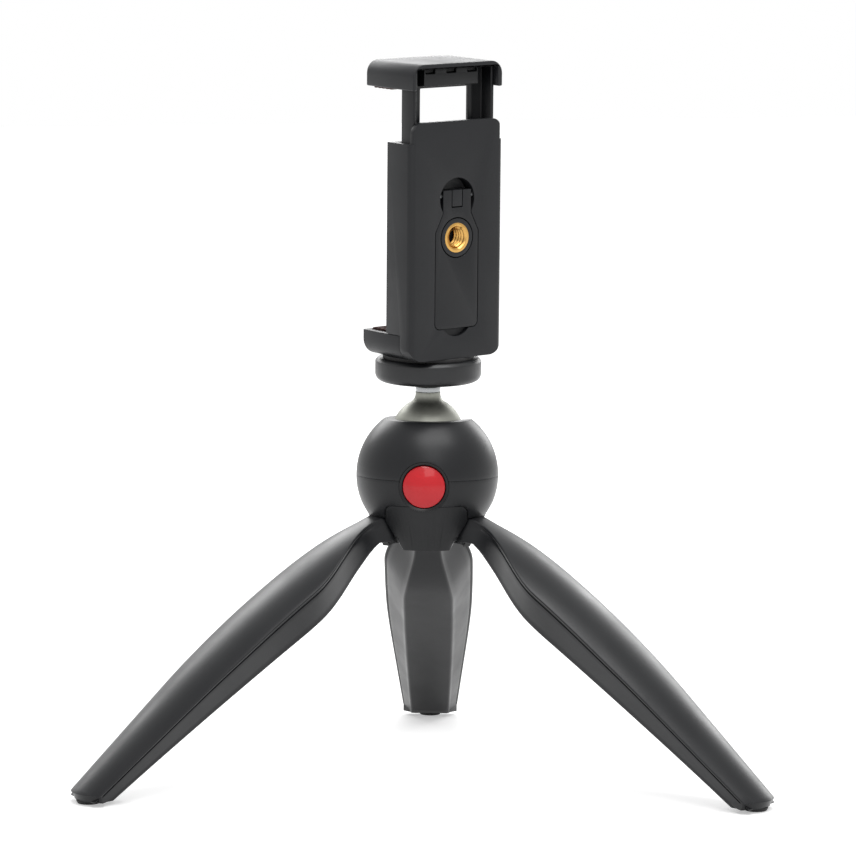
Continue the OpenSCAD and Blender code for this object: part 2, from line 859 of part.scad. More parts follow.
module ball() {
    fillet_x = stem_r + stem_fillet_r;
    fillet_z = sqrt(pow(ball_r + stem_fillet_r, 2) - pow(fillet_x, 2));
    touch = ball_r / (ball_r + stem_fillet_r);
    core_stem_r = stem_r - collar_wall;
    color("#a3a49c") head_pose() difference() {
        union() {
            sphere(r = ball_r, $fn = 2 * $fn);
            rotate_extrude() difference() {
                polygon([
                    [0, 0], [fillet_x * touch / 2, fillet_z * touch / 2], [fillet_x * touch, fillet_z * touch],
                    [fillet_x, fillet_z], [stem_r, fillet_z], [stem_r, collar_h],
                    [core_stem_r, collar_h], [core_stem_r, plate_h], [0, plate_h]
                ]);
                translate([fillet_x, fillet_z]) circle(r = stem_fillet_r);
            }
        }
        translate([0, 0, shank_low_h]) cylinder(r = shank_r, h = far);
    }
}

module neck_collar() {
    color("#d4d6d8") head_pose() translate([0, 0, collar_h]) difference() {
        cylinder(r = stem_r, h = collar_t);
        translate([0, 0, -ov]) cylinder(r = stem_r - collar_wall, h = collar_t + 2 * ov);
    }
}

module top_plate() {
    top = plate_h + plate_t;
    seat_r = stem_r + collar_wall;
    collar_top = collar_h + collar_t;
    color("#2a2b2d") head_pose() difference() {
        rotate_extrude() difference() {
            union() {
                polygon([
                    [0, plate_h], [plate_r - plate_round_r, plate_h], [plate_r, plate_h + plate_round_r],
                    [plate_r, top - plate_chamfer], [plate_r - plate_chamfer, top], [0, top]
                ]);
                translate([plate_r - plate_round_r, plate_h + plate_round_r]) circle(r = plate_round_r);
                translate([0, collar_top]) square([seat_r, plate_h - collar_top + ov]);
            }
            translate([-far, 0]) square([far, far]);
        }
        cylinder(r = stem_r - collar_wall, h = plate_h);
        cylinder(r = stud_r, h = far);
    }
}

module plate_pad() {
    color("#1c1c1d") head_pose() translate([0, 0, plate_h + plate_t]) difference() {
        cylinder(r = pad_r, h = pad_t);
        translate([0, 0, -ov]) cylinder(r = pad_hole_r, h = pad_t + 2 * ov);
    }
}

module mount_stud() {
    tip = 0.5;
    color("#c4c6c8") head_pose() {
        translate([0, 0, shank_low_h]) cylinder(r = shank_r, h = plate_h - shank_low_h);
        translate([0, 0, plate_h]) cylinder(r = stud_r, h = plate_t + stud_len - tip);
        translate([0, 0, plate_h + plate_t + stud_len - tip]) cylinder(r1 = stud_r, r2 = stud_r - tip, h = tip);
    }
}

// Clamp

// Front view of the clamp body, with its round lower corners
module body_outline(w, h) {
    translate([-w / 2, 0]) difference() {
        square([w, h]);
        for (side = [0, 1]) translate([side * w, 0]) scale([1 - 2 * side, 1]) difference() {
            translate([-ov, -ov]) square(low_corner_r + ov);
            translate([low_corner_r, low_corner_r]) circle(r = low_corner_r);
        }
    }
}

// The taller, narrower back plate, with its round upper corners
module back_outline() {
    w = clamp_w - 2 * plate_step;
    low = wall_h - ov;
    translate([-w / 2, low]) difference() {
        square([w, back_h - low]);
        for (side = [0, 1]) translate([side * w, back_h - low]) scale([1 - 2 * side, -1]) difference() {
            translate([-ov, -ov]) square(plate_corner_r + ov);
            translate([plate_corner_r, plate_corner_r]) circle(r = plate_corner_r);
        }
    }
}

// The round on both upright back edges of a plate of width w
module back_edge_cuts(w, r) {
    for (side = [-1, 1]) scale([side, 1, 1]) translate([w / 2 - r, back_y + r, -ov])
        linear_extrude(back_h + 2 * ov) difference() {
            translate([0, -r - ov]) square([r + ov, r + ov]);
            circle(r = r);
        }
}

module clamp_body() {
    cavity_half = slider_half_w + slider_gap;
    inner_y = back_y + back_t;
    color("#323335") clamp_pose() difference() {
        union() {
            difference() {
                upright(back_y, wall_front_y) body_outline(clamp_w, wall_h);
                span([-cavity_half, inner_y, rear_wall_h], [cavity_half, far, far * 2]);
                span([-far, jaw_seam_y - seam, -ov], [far, far, jaw_t + seam]);
                back_edge_cuts(clamp_w, edge_r);
            }
            difference() {
                upright(back_y, inner_y) back_outline();
                back_edge_cuts(clamp_w - 2 * plate_step, edge_r / 2);
            }
            span([-well_half_w, back_y + back_t / 2, well_low], [well_half_w, well_back_y, well_top]);
        }
        arm_pocket();
        insert_bore();
        arm_pin_bore();
    }
}

// The recess for the arm, less the boss round the insert and the hinge's tongue
module arm_pocket() {
    difference() {
        union() {
            upright(back_y - ov, back_y + arm_t + arm_gap) arm_outline(arm_gap);
            translate([0, 0, hinge_dish_h]) rod_y(hinge_dish_r, back_y - ov, back_y + hinge_dish_depth);
            translate([0, 0, finger_dish_h]) rod_y(finger_dish_r, back_y - ov, back_y + finger_dish_depth);
        }
        translate([0, 0, insert_h]) rod_y(boss_r, back_y - 2 * ov, far);
        span([-tongue_w / 2, back_y - 2 * ov, tongue_low], [tongue_w / 2, 0, arm_top]);
    }
}

// The seat of the brass insert
module insert_bore() {
    translate([0, 0, insert_h]) rod_y(insert_r, back_y - ov, back_y + insert_len);
}

module arm_pin_bore() {
    translate([0, arm_pin_y, arm_pin_h]) rod_x(arm_pin_r, 2 * hinge_dish_r + 2 * pin_seat);
}

pin_seat = 2;
arm_pin_y = back_y + arm_t / 2;

module clamp_front() {
    inner_half = slider_half_w + slider_gap - seam;
    cover_back_y = wall_front_y - cover_t;
    color("#2e2f31") clamp_pose() difference() {
        union() {
            intersection() {
                upright(jaw_seam_y, jaw_front) body_outline(clamp_w, wall_h);
                span([-far, -far, 0], [far, far, jaw_t]);
            }
            span([-inner_half, cover_back_y, jaw_t - ov], [inner_half, wall_front_y, wall_h]);
        }
        span(
            [-pad_half_w, jaw_pad_back_y, jaw_t - jaw_pad_t + jaw_pad_proud],
            [pad_half_w, jaw_pad_front_y, far]
        );
        translate([0, 0, -ov]) cylinder(r = insert_r, h = low_insert_len + ov);
    }
}

// A rubber jaw pad with cross ribs, its face at the origin's height
module jaw_pad() {
    pitch = (jaw_pad_front_y - jaw_pad_back_y) / jaw_pad_ribs;
    span([-pad_half_w, jaw_pad_back_y, -jaw_pad_t], [pad_half_w, jaw_pad_front_y, -jaw_pad_rib_h]);
    for (i = [0:jaw_pad_ribs - 1]) translate([0, jaw_pad_back_y + (i + 1 / 2) * pitch, 0])
        span([-pad_half_w, -jaw_pad_rib_w / 2, -jaw_pad_rib_h], [pad_half_w, jaw_pad_rib_w / 2, 0]);
}

module lower_jaw_pad() {
    color("#4a2320") clamp_pose() translate([0, 0, jaw_t + jaw_pad_proud]) jaw_pad();
}

// A threaded insert lying along Z with its mouth at the origin, bore upwards
module threaded_insert(len, bore_r, bore_len) {
    difference() {
        cylinder(r = insert_r, h = len);
        translate([0, 0, -ov]) cylinder(r = bore_r, h = bore_len + ov);
        translate([0, 0, -ov]) cylinder(r1 = bore_r + insert_chamfer + ov, r2 = bore_r, h = insert_chamfer + ov);
    }
}

module lower_insert() {
    color("#c9a24e") clamp_pose() threaded_insert(low_insert_len, low_insert_bore_r, low_insert_len + ov);
}

module rear_insert() {
    color("#c9a24e") clamp_pose() translate([0, back_y, insert_h]) rotate([-90, 0, 0])
        threaded_insert(insert_len, thread_r, insert_len - insert_floor);
}

module arm_pin() {
    color("#b4b6b8") clamp_pose() translate([0, arm_pin_y, arm_pin_h])
        rod_x(arm_pin_r, 2 * hinge_dish_r + 2 * pin_seat);
}

module pull_springs() {
    color("#b4b6b8") clamp_pose() for (side = [-1, 1])
        translate([side * pull_spring_x, pull_spring_y, pull_spring_low])
            coil(pull_spring_coil_r, pull_spring_wire_r, pull_spring_turns, pull_spring_top - pull_spring_low);
}

module slider() {
    top = cap_top - cap_top_wall - cap_seat;
    web_back_y = slider_front_y - slider_web_t;
    color("#2e2f31") clamp_pose() difference() {
        union() {
            span([-slider_half_w, web_back_y, slider_low], [slider_half_w, slider_front_y, top]);
            for (side = [-1, 1]) scale([side, 1, 1]) {
                span([slider_half_w - slider_wall, slider_back_y, slider_low], [slider_half_w, slider_front_y, top]);
                span(
                    [well_half_w + gap, slider_back_y, pull_spring_top],
                    [slider_half_w, slider_front_y, pull_spring_top + spring_hook_t]
                );
            }
            span([-rail_half_w, rail_back_y, top - rail_t], [rail_half_w, slider_front_y, top]);
        }
        span([-window_half_w, -far, window_low], [window_half_w, far, cap_low - cap_seat]);
        for (i = [-1:1]) translate([i * rail_notch_pitch, rail_back_y, top])
            cube([rail_notch_w, slider_web_t * 2, 2 * rail_notch_h], center = true);
    }
}

// Front view of the upper jaw, with its round upper corners
module cap_outline(w, h) {
    translate([-w / 2, 0]) difference() {
        square([w, h]);
        for (side = [0, 1]) translate([side * w, h]) scale([1 - 2 * side, -1]) difference() {
            translate([-ov, -ov]) square(cap_corner_r + ov);
            translate([cap_corner_r, cap_corner_r]) circle(r = cap_corner_r);
        }
    }
}

module upper_jaw() {
    color("#323335") clamp_pose() difference() {
        translate([0, 0, cap_low]) upright(back_y, jaw_front) cap_outline(cap_w, cap_t);
        span(
            [-slider_half_w - cap_seat, back_y - ov, cap_low - ov],
            [slider_half_w + cap_seat, slider_front_y + cap_seat, cap_top - cap_top_wall]
        );
        span(
            [-pad_half_w, jaw_pad_back_y, cap_low - ov],
            [pad_half_w, jaw_pad_front_y, cap_low + jaw_pad_t - jaw_pad_proud]
        );
    }
}

module upper_jaw_pad() {
    color("#4a2320") clamp_pose() translate([0, 0, cap_low - jaw_pad_proud]) mirror([0, 0, 1]) jaw_pad();
}

// Back view of the arm: a bottle, grown by a margin
module arm_outline(margin) {
    half_body = arm_w / 2 + margin;
    half_neck = arm_neck_w / 2 + margin;
    low = arm_low - margin;
    corner = arm_corner_r + margin;
    translate([-half_body, low]) difference() {
        square([2 * half_body, arm_shoulder_low - low]);
        for (side = [0, 1]) translate([side * 2 * half_body, 0]) scale([1 - 2 * side, 1]) difference() {
            translate([-ov, -ov]) square(corner + ov);
            translate([corner, corner]) circle(r = corner);
        }
    }
    polygon([
        [-half_body, arm_shoulder_low], [half_body, arm_shoulder_low], [half_neck, arm_shoulder_top],
        [half_neck, arm_top + margin], [-half_neck, arm_top + margin], [-half_neck, arm_shoulder_top]
    ]);
}

module fold_out_arm() {
    color("#353638") clamp_pose() difference() {
        upright(back_y, back_y + arm_t) arm_outline(0);
        translate([0, 0, insert_h]) rod_y(boss_r + boss_gap, back_y - ov, 0);
        span([-arm_slot_w / 2, -far, arm_slot_low], [arm_slot_w / 2, far, far]);
        translate([0, arm_pin_y, arm_pin_h]) rod_x(arm_pin_r + fit, far);
    }
}

hub_upper_shell();
hub_lower_shell();
hub_core();
lock_guide();
base_plate();
base_screws();
button_bezel();
lock_button();
lock_wedge();
button_spring();
lock_plunger();
ball_cup();
leg(0);  // leg_1
leg(1);  // leg_2
leg(2);  // leg_3
leg_shell(0);  // leg_shell_1
leg_shell(1);  // leg_shell_2
leg_shell(2);  // leg_shell_3
hinge_pin(0);  // hinge_pin_1
hinge_pin(1);  // hinge_pin_2
hinge_pin(2);  // hinge_pin_3
foot_pad(0);  // foot_pad_1
foot_pad(1);  // foot_pad_2
foot_pad(2);  // foot_pad_3
ball();
neck_collar();
top_plate();
plate_pad();
mount_stud();
clamp_body();
clamp_front();
lower_jaw_pad();
lower_insert();
rear_insert();
arm_pin();
pull_springs();
slider();
upper_jaw();
upper_jaw_pad();
fold_out_arm();
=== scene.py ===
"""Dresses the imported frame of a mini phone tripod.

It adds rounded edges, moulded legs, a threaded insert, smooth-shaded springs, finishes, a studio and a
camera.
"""

import json
import math

import bpy
from mathutils import Matrix, Vector

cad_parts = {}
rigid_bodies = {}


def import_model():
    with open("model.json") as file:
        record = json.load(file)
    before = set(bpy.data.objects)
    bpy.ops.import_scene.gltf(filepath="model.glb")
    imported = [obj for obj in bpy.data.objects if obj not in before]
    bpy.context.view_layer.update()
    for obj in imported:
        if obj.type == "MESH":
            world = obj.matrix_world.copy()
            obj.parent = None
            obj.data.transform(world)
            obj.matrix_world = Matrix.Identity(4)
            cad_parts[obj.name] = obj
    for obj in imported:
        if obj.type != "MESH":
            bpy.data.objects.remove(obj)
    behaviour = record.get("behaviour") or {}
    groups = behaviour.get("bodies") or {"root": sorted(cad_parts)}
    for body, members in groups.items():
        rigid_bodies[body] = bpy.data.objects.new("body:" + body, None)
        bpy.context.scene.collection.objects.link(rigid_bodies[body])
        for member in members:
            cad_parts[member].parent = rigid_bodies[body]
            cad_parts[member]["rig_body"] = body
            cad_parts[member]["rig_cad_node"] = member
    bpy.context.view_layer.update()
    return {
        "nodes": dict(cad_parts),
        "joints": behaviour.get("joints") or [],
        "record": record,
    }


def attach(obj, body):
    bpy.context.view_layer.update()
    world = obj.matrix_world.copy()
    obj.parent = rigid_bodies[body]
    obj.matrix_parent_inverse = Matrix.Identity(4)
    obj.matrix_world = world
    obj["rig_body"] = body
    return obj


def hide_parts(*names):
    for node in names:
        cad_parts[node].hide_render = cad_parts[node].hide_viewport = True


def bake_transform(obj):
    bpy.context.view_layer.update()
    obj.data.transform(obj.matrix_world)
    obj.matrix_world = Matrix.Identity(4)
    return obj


MM = 0.001

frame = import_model()


# Camera: the photograph's own viewpoint, solved from the feet, the plate and the clamp

CAMERA_PLACE = Vector((-839.2, -1082.0, 240.8)) * MM
CAMERA_AIM = Vector((0.08, -0.06, 109.0)) * MM
CAMERA_ROLL = math.radians(0.48)
CAMERA_LENS = 185.5
CAMERA_SENSOR = 36.0
CAMERA_NEAR = 0.05
CAMERA_FAR = 20


def place_camera():
    forward = (CAMERA_AIM - CAMERA_PLACE).normalized()
    level = forward.cross(Vector((0, 0, 1))).normalized()
    upright = level.cross(forward)
    right = level * math.cos(CAMERA_ROLL) + upright * math.sin(CAMERA_ROLL)
    up = upright * math.cos(CAMERA_ROLL) - level * math.sin(CAMERA_ROLL)
    bpy.ops.object.camera_add(location=CAMERA_PLACE)
    camera = bpy.context.active_object
    camera.name = "photo_camera"
    turn = Matrix((right, up, -forward)).transposed()
    camera.rotation_mode = "QUATERNION"
    camera.rotation_quaternion = turn.to_quaternion()
    camera.data.lens = CAMERA_LENS
    camera.data.sensor_width = CAMERA_SENSOR
    camera.data.clip_start = CAMERA_NEAR
    camera.data.clip_end = CAMERA_FAR
    bpy.context.scene.camera = camera


place_camera()


# Places that the frame's joints give: the leaning head, the clamp on it and the rear insert's thread

JOINTS = {joint["name"]: joint for joint in frame["joints"]}
CLAMP_TURN = JOINTS["clamp_turn"]
LEAN = Vector((0, 0, 1)).rotation_difference(Vector(CLAMP_TURN["axis"])).to_matrix().to_4x4()
CLAMP = Matrix.Translation(CLAMP_TURN["pos_m"]) @ LEAN
CLAMP_BACK = -13.85
REAR_THREAD_Z = 37.5
REAR_THREAD = (CLAMP @ Matrix.Translation((0, CLAMP_BACK * MM, REAR_THREAD_Z * MM))
               @ Matrix.Rotation(-math.pi / 2, 4, "X"))


# Materials

# A Mix node's sockets for colours go by number, since its other sockets have the same names
MIX_A = 6
MIX_B = 7
MIX_RESULT = 2

# Most of a noise pattern lies between these values
NOISE_LOW = 0.3
NOISE_HIGH = 0.7


def linear(hex_colour):
    """An sRGB hex value as a linear colour with alpha."""
    parts = [int(hex_colour[i:i + 2], 16) / 255 for i in (1, 3, 5)]
    return tuple(p / 12.92 if p <= 0.04045 else ((p + 0.055) / 1.055) ** 2.4 for p in parts) + (1.0,)


def add_node(tree, kind, settings=None, links=None):
    """Adds a node, gives its sockets and properties their values, and links its inputs."""
    node = tree.nodes.new(kind)
    for name, value in (settings or {}).items():
        if isinstance(name, str) and hasattr(node, name):
            setattr(node, name, value)
        else:
            node.inputs[name].default_value = value
    link_inputs(tree, node, links or {})
    return node


def link_inputs(tree, node, links):
    """Links a node's inputs to the outputs they take their values from."""
    for name, source in links.items():
        tree.links.new(source, node.inputs[name])


def new_material(name, colour, settings):
    """A material with its Principled shader, and the Object coordinates its patterns read."""
    material = bpy.data.materials.new(name)
    material.use_nodes = True
    material.diffuse_color = linear(colour)
    tree = material.node_tree
    shader = tree.nodes["Principled BSDF"]
    shader.inputs["Base Color"].default_value = linear(colour)
    for key, value in settings.items():
        shader.inputs[key].default_value = value
    places = add_node(tree, "ShaderNodeTexCoord")
    return material, tree, shader, places.outputs["Object"]


def moulded_plastic(name, colour, pale, roughness, grain_mm, depth_mm):
    """Moulded plastic from a spark-eroded mould: satin, with a fine even grain that catches the light.

    The real grain is near 0.1 mm, too fine to show, so it is drawn about three times as coarse.
    """
    cloud_mm = 14
    wander = 0.05
    material, tree, shader, places = new_material(
        name, colour, {"Roughness": roughness, "IOR": 1.5, "Specular IOR Level": 0.3})
    grain = add_node(tree, "ShaderNodeTexNoise",
                     {"Scale": 1 / (grain_mm * MM), "Detail": 2.0, "Roughness": 0.6}, {"Vector": places})
    cloud = add_node(tree, "ShaderNodeTexNoise",
                     {"Scale": 1 / (cloud_mm * MM), "Detail": 3.0, "Roughness": 0.55}, {"Vector": places})
    mottle = add_node(tree, "ShaderNodeMapRange", {"From Min": NOISE_LOW, "From Max": NOISE_HIGH},
                      {"Value": grain.outputs["Fac"]})
    tint = add_node(tree, "ShaderNodeMix",
                    {"data_type": "RGBA", MIX_A: linear(colour), MIX_B: linear(pale)},
                    {"Factor": mottle.outputs["Result"]})
    gloss = add_node(tree, "ShaderNodeMapRange",
                     {"From Min": NOISE_LOW, "From Max": NOISE_HIGH,
                      "To Min": roughness - wander, "To Max": roughness + wander},
                     {"Value": cloud.outputs["Fac"]})
    bump = add_node(tree, "ShaderNodeBump", {"Strength": 0.5, "Distance": depth_mm * MM},
                    {"Height": grain.outputs["Fac"]})
    link_inputs(tree, shader, {"Base Color": tint.outputs[MIX_RESULT], "Roughness": gloss.outputs["Result"],
                               "Normal": bump.outputs["Normal"]})
    return material


def turned_metal(name, colour, pale, roughness, ring_mm, depth_mm, metallic=1.0, axis=LEAN):
    """Lathe-turned metal: fine rings round the axis, and gloss that wanders a little.

    The tool's real lines are near 0.1 mm apart, too fine to show, so they are drawn wider.
    """
    cloud_mm = 6
    wander = 0.06
    draw_out = 0.04
    material, tree, shader, places = new_material(
        name, colour, {"Metallic": metallic, "Roughness": roughness})
    upright = add_node(tree, "ShaderNodeMapping", {"Rotation": axis.to_3x3().inverted().to_euler()},
                       {"Vector": places})
    stretch = add_node(tree, "ShaderNodeMapping", {"Scale": (draw_out, draw_out, 1.0)},
                       {"Vector": upright.outputs["Vector"]})
    rings = add_node(tree, "ShaderNodeTexNoise",
                     {"Scale": 1 / (ring_mm * MM), "Detail": 4.0, "Roughness": 0.6},
                     {"Vector": stretch.outputs["Vector"]})
    cloud = add_node(tree, "ShaderNodeTexNoise", {"Scale": 1 / (cloud_mm * MM), "Detail": 3.0},
                     {"Vector": places})
    tint = add_node(tree, "ShaderNodeMix",
                    {"data_type": "RGBA", MIX_A: linear(colour), MIX_B: linear(pale)},
                    {"Factor": rings.outputs["Fac"]})
    gloss = add_node(tree, "ShaderNodeMapRange",
                     {"From Min": NOISE_LOW, "From Max": NOISE_HIGH,
                      "To Min": roughness - wander, "To Max": roughness + wander},
                     {"Value": cloud.outputs["Fac"]})
    bump = add_node(tree, "ShaderNodeBump", {"Strength": 0.4, "Distance": depth_mm * MM},
                    {"Height": rings.outputs["Fac"]})
    link_inputs(tree, shader, {"Base Color": tint.outputs[MIX_RESULT], "Roughness": gloss.outputs["Result"],
                               "Normal": bump.outputs["Normal"]})
    return material


def moulded_rubber(name, colour, pale, grain_mm):
    """Moulded rubber: dull, dense and slightly dusty, with a soft sheen at a glance."""
    depth_mm = 0.04
    material, tree, shader, places = new_material(
        name, colour, {"Roughness": 0.75, "IOR": 1.52, "Sheen Weight": 0.08, "Sheen Roughness": 0.5})
    grain = add_node(tree, "ShaderNodeTexNoise", {"Scale": 1 / (grain_mm * MM), "Detail": 3.0},
                     {"Vector": places})
    tint = add_node(tree, "ShaderNodeMix",
                    {"data_type": "RGBA", MIX_A: linear(colour), MIX_B: linear(pale)},
                    {"Factor": grain.outputs["Fac"]})
    bump = add_node(tree, "ShaderNodeBump", {"Strength": 0.4, "Distance": depth_mm * MM},
                    {"Height": grain.outputs["Fac"]})
    link_inputs(tree, shader, {"Base Color": tint.outputs[MIX_RESULT], "Normal": bump.outputs["Normal"]})
    return material


def resin_dome():
    """A red printed disc under a poured clear dome: deep colour below a smooth wet-looking coat."""
    cloud_mm = 5
    material, tree, shader, places = new_material(
        "domed resin over red", "#c00d1b",
        {"Roughness": 0.4, "IOR": 1.5, "Specular IOR Level": 0.2,
         "Coat Weight": 0.6, "Coat Roughness": 0.03, "Coat IOR": 1.45})
    cloud = add_node(tree, "ShaderNodeTexNoise", {"Scale": 1 / (cloud_mm * MM), "Detail": 2.0},
                     {"Vector": places})
    tint = add_node(tree, "ShaderNodeMix",
                    {"data_type": "RGBA", MIX_A: linear("#bd0b18"), MIX_B: linear("#c8101e")},
                    {"Factor": cloud.outputs["Fac"]})
    link_inputs(tree, shader, {"Base Color": tint.outputs[MIX_RESULT]})
    return material


MATERIALS = {
    # Satin near-black, on which the lamps make broad soft lights
    "shell_plastic": moulded_plastic("hub shell ABS", "#111214", "#151619", 0.36, 0.28, 0.025),
    "core_plastic": moulded_plastic("hub core nylon", "#131416", "#17181a", 0.44, 0.3, 0.02),
    "leg_plastic": moulded_plastic("leg shell ABS", "#131416", "#17181b", 0.36, 0.3, 0.025),
    # A duller and flatter black, a little paler
    "clamp_plastic": moulded_plastic("clamp ABS", "#151618", "#191a1d", 0.46, 0.26, 0.02),
    "slider_plastic": moulded_plastic("slider acetal", "#0f1012", "#131416", 0.38, 0.3, 0.015),
    "arm_plastic": moulded_plastic("arm ABS", "#121315", "#16171a", 0.4, 0.26, 0.02),
    # A deeper and shinier black ring, which sets off the red
    "bezel_plastic": moulded_plastic("bezel ABS", "#0e0e10", "#111113", 0.3, 0.3, 0.01),
    # Milky white and slippery, hidden under the ball
    "acetal": moulded_plastic("white acetal", "#cfcfc8", "#d8d8d2", 0.45, 0.4, 0.01),
    # A frosted warm grey, dark in the middle and light at its sides
    "ball_metal": turned_metal("bead-blasted aluminium", "#8a8b84", "#93948c", 0.51, 0.5, 0.01),
    # A brighter thin ring and plain grey steel for pins, screws and springs
    "collar_metal": turned_metal("polished steel collar", "#8b8d8e", "#9b9d9e", 0.27, 0.3, 0.004),
    "steel": turned_metal("plain steel", "#6a6c6e", "#787a7c", 0.34, 0.3, 0.006),
    # Dyed black, so that the light stays soft and without colour
    "plate_metal": turned_metal("black anodised aluminium", "#121315", "#17181a", 0.4, 0.25, 0.006, 0.15),
    # Warm yellow, which flashes along the thread's crests
    "insert_brass": turned_metal("turned brass", "#b58b45", "#cda463", 0.26, 0.3, 0.006, axis=REAR_THREAD),
    # Dull black that holds dust, and the same in a dark red-brown
    "foot_rubber": moulded_rubber("black rubber", "#111112", "#161617", 0.4),
    "jaw_rubber": moulded_rubber("dark red-brown rubber", "#3b1613", "#452019", 0.4),
    # Wet-looking red
    "red_button": resin_dome(),
}


# Modelling helpers

NODE_MERGE = 0.002
FLAT_ANGLE = math.radians(0.3)
ROUND_SEGMENTS = 3


def select_only(*things):
    bpy.ops.object.select_all(action="DESELECT")
    for thing in things:
        thing.select_set(True)
    bpy.context.view_layer.objects.active = things[0]


def give_finish(piece, name, slot):
    """Names a piece and gives it the finish of its slot."""
    piece.name = name
    piece.data.name = name
    piece.data.materials.clear()
    piece.data.materials.append(MATERIALS[slot])


def add_modifier(piece, kind, settings):
    """Adds a modifier and applies it at once."""
    select_only(piece)
    modifier = piece.modifiers.new(kind.lower(), kind)
    for key, value in settings.items():
        setattr(modifier, key, value)
    bpy.ops.object.modifier_apply(modifier=modifier.name)


def round_edges(piece, width_mm, angle, miter="MITER_SHARP"):
    """Rounds the edges that turn by more than an angle, and smooths all the others."""
    add_modifier(piece, "BEVEL", {
        "width": width_mm * MM, "segments": ROUND_SEGMENTS, "limit_method": "ANGLE", "angle_limit": angle,
        "miter_outer": miter})
    select_only(piece)
    bpy.ops.object.shade_smooth_by_angle(angle=angle)


def copy_of_node(node):
    """A merged copy of a CAD node's mesh, with its flat faces made whole again."""
    select_only(frame["nodes"][node])
    bpy.ops.object.duplicate(linked=False)
    piece = bpy.context.active_object
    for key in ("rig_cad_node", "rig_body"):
        del piece[key]
    bpy.ops.object.parent_clear(type="CLEAR_KEEP_TRANSFORM")
    bpy.ops.object.mode_set(mode="EDIT")
    bpy.ops.mesh.select_all(action="SELECT")
    bpy.ops.mesh.remove_doubles(threshold=NODE_MERGE * MM)
    bpy.ops.mesh.dissolve_limited(angle_limit=FLAT_ANGLE)
    bpy.ops.object.mode_set(mode="OBJECT")
    return piece


# Every CAD node gets its finish

SLOTS = {entry["node"]: entry["material_slot"] for entry in frame["record"]["subparts"]}

for name, node in frame["nodes"].items():
    node.data.materials.clear()
    node.data.materials.append(MATERIALS[SLOTS[name]])


# The nodes that show get the small rounds on their edges that the mould or the lathe gives

EDGE_ANGLE = math.radians(35)

ROUNDS = {
    "hub_upper_shell": 0.35, "hub_lower_shell": 0.25, "hub_core": 0.3, "base_plate": 0.2,
    "button_bezel": 0.2, "lock_button": 0.25,
    "foot_pad_1": 0.3, "foot_pad_2": 0.3, "foot_pad_3": 0.3,
    "ball": 0.1, "neck_collar": 0.2, "top_plate": 0.3, "plate_pad": 0.2,
    "clamp_body": 0.35, "clamp_front": 0.35, "lower_jaw_pad": 0.2,
    "slider": 0.3, "upper_jaw": 0.5, "upper_jaw_pad": 0.2, "fold_out_arm": 0.3,
}


def rounded_copy(node, width_mm):
    """Stands for a CAD node, with rounds of this width on its edges."""
    piece = copy_of_node(node)
    round_edges(piece, width_mm, EDGE_ANGLE, "MITER_ARC")
    give_finish(piece, node + "_moulded", SLOTS[node])
    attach(piece, frame["nodes"][node]["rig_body"])
    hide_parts(node)
    return piece


rounded = {name: rounded_copy(name, width) for name, width in ROUNDS.items()}


# The aprons' lower edges, drawn down to where the photograph has them

APRON_EDGE = 73.9
APRON_DROP = 1.4
APRON_SHARE = 0.975

for vertex in rounded["hub_core"].data.vertices:
    if vertex.co.z < APRON_EDGE * MM:
        vertex.co.x *= APRON_SHARE
        vertex.co.y *= APRON_SHARE
        vertex.co.z -= APRON_DROP * MM


# Legs: a smooth shell over a set-in beam, drawn in the closed grip and then opened about the hinge

# The joints give the hinge's place, and the legs' opening and directions
FOLDS = [JOINTS["leg_%d_fold" % index] for index in (1, 2, 3)]
LEG_OPEN = math.radians(FOLDS[0]["range_deg"][1])
HINGE = Vector((math.hypot(*FOLDS[0]["pos_m"][:2]), 0, FOLDS[0]["pos_m"][2]))
HINGE_U = HINGE.x / MM
HINGE_Z = HINGE.z / MM

# In the closed grip u points outwards from its axis, v across and w down from the hinge, all in millimetres
LEG_LENGTH = 132.5
GRIP_RADIUS = 22.4
CROWN_BACK = 4.7
CROWN_PEAK = 34
CROWN_NEAR = 165
CROWN_FAR = 345
CROWN_CONE = 88
NECK_HALF = 4
NECK_END = 7
NECK_CLOSED = 4
NECK_OPENS = 8
HIP_HALF = 14.5
HIP_END = 38
PLAN_POWER = 0.8
PLAN_BLEND = 0.6
FLANK_BASE = 3.6
FLANK_SLOPE = math.tan(math.radians(32.8))

# The keel runs from the neck over the hip in a bend, and on to the foot in an arc
KEEL_NECK = 13.6
KEEL_HIP = 6.3
KEEL_BEND = 39
KEEL_ARC = 1333
KEEL_ROUND = 1.1
KEEL_WIDENS = 18
KEEL_WIDE_RUN = 28

# The round eye about the hinge
EYE_RADIUS = 3.2
EYE_END = -1.2
EYE_LOW = 2.2
EYE_RUN = 6
EYE_SEAT = 0.3
PIN_BORE = 1.56
PIN_DRILL = 20
PIN_SIDES = 48

# The shell's rim, and the groove between it and the beam
SHELL_DROP = 0.8
BEAM_COVER = 0.3
BEAM_INSET = 0.05
GROOVE_AT_HIP = 0.8
GROOVE_AT_FOOT = 0.4
GROOVE_EASES = 40
GROOVE_RUN = 60
GROOVE_DEPTH = 0.3
GROOVE_LIP = 0.1
SEAT_SHARE = 0.5
BEND_SHARE = 0.3

# The least sizes that keep a section from folding over where it is thin
LEAST_FLANK = 1.0
LEAST_SIDE = 0.5
LEAST_LEAN = 0.02
LEAST_BEND = 0.01

# Heights above the table at which the open leg's pieces end, and how far out its beam reaches
SLOT_TOP = 82.15
SHELL_END = 3.3
BEAM_END = 1.25
BEAM_REACH = 118

# The sole's band, which closes the leg's end between shell and foot
SOLE_TOP = 3.6
SOLE_INSET = 0.45
SOLE_TAPER = 0.35

